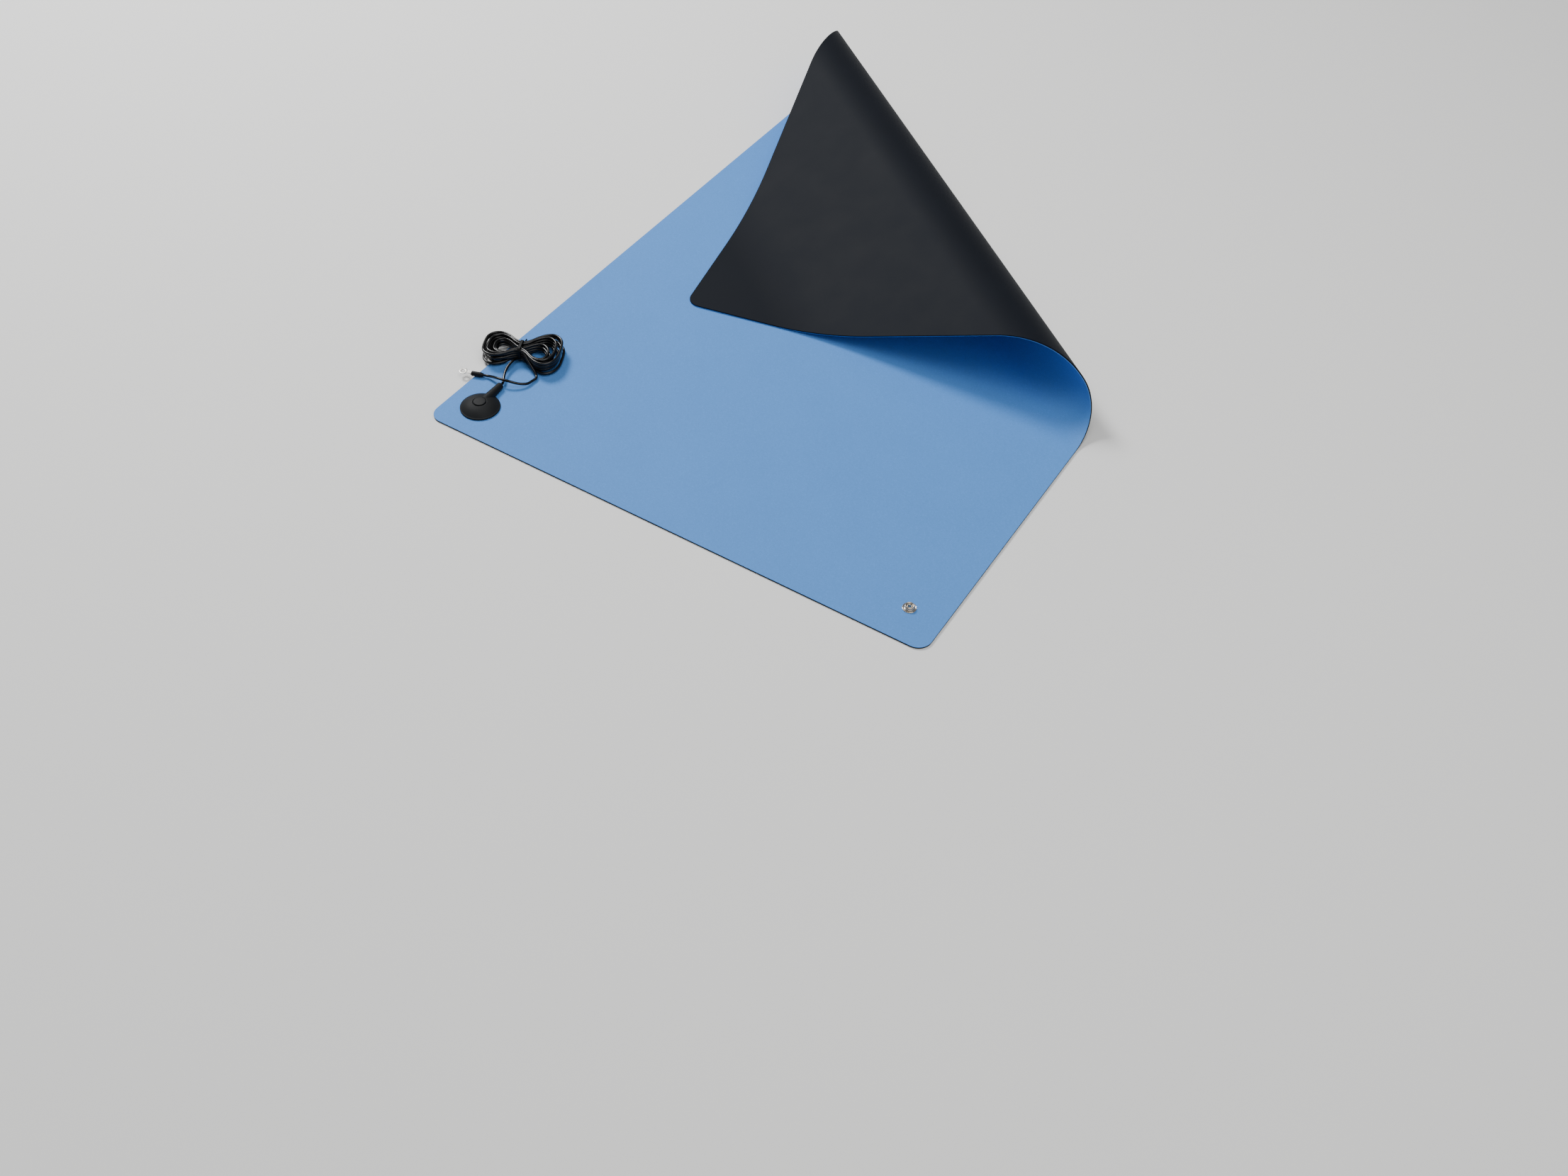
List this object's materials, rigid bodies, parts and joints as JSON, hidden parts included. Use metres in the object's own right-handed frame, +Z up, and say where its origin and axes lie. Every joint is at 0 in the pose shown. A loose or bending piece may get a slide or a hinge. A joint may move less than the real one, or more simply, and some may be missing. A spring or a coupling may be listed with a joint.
{
  "type": "anti static bench mat",
  "caption": "Two layer rubber bench mat with one corner folded over, snap studs in its front corners, and a ground cord snapped on one stud and tied in a hank.",
  "frame": {"origin": "on the bench, under the middle of the mat's box as it lies folded, without the cord", "axes": "+X along the front edge, +Y along the length of the mat towards the folded end, +Z up"},
  "size_m": [0.6199, 0.8752, 0.0801],
  "materials": {
    "base_rubber": "matt black conductive rubber",
    "surface_rubber": "matt blue dissipative rubber with a fine speckle",
    "nickel": "nickel plated brass",
    "cap_plastic": "black moulded plastic, finely textured",
    "cord_jacket": "glossy black PVC",
    "tie_plastic": "black plastic coated twist tie",
    "sleeve_plastic": "black shrunk sleeve",
    "tinned_metal": "tinned copper"
  },
  "bodies": {
    "root": {"base_layer": "base_rubber", "surface_layer": "surface_rubber", "snap_stud_left": "nickel", "snap_stud_right": "nickel", "stud_rivet_left": "nickel", "stud_rivet_right": "nickel", "snap_cap": "cap_plastic", "snap_socket": "nickel", "cord_lead": "cord_jacket", "cord_hank": "cord_jacket", "cord_tail": "cord_jacket", "hank_tie": "tie_plastic", "terminal_sleeve": "sleeve_plastic", "ring_terminal": "tinned_metal"}
  },
  "joints": []
}
